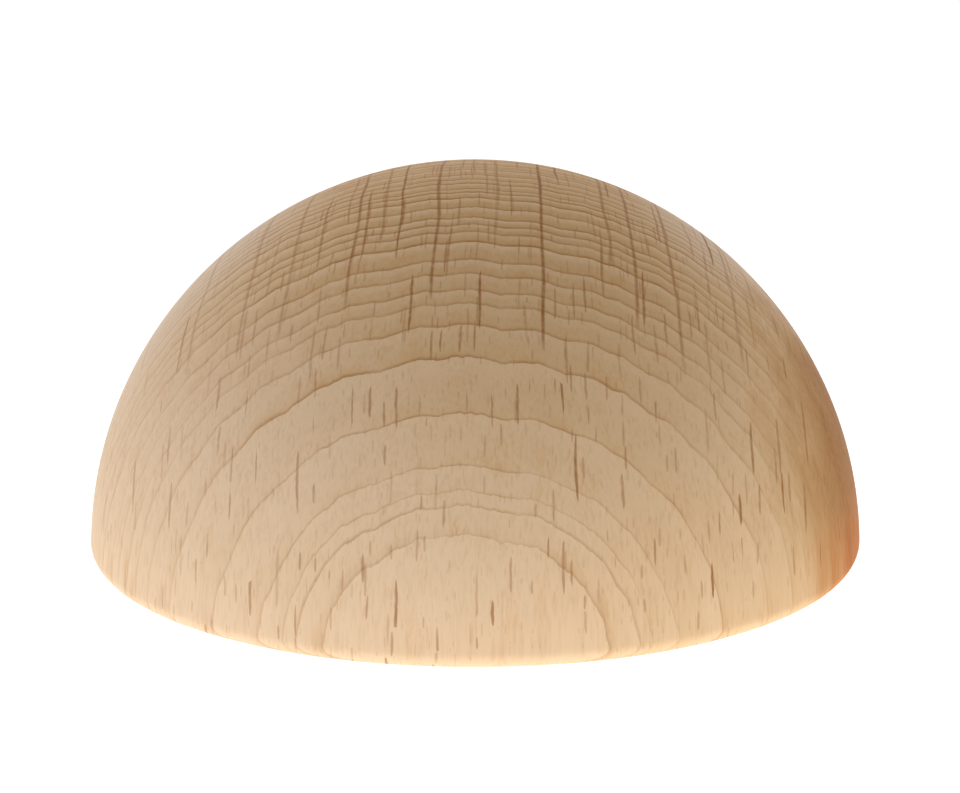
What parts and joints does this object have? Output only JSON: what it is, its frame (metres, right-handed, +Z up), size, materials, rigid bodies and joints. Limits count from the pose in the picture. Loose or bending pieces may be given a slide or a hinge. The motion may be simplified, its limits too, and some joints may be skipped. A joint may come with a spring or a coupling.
{
  "type": "wooden hemisphere",
  "caption": "Solid turned beech half ball with a flat end-grain base, a domed top and a lightly sanded rim, for crafts, knobs, feet and stops.",
  "frame": {"origin": "centre of the flat face that the half ball rests on", "axes": "+Z up through the crown, along the wood fibres and the lathe axis; the yearly rings are stacked along Y, with the wide rings at -Y"},
  "size_m": [0.05, 0.05, 0.025],
  "materials": {
    "beech": "raw, fine sanded, unvarnished"
  },
  "bodies": {
    "root": {"half_ball": "beech"}
  },
  "joints": []
}
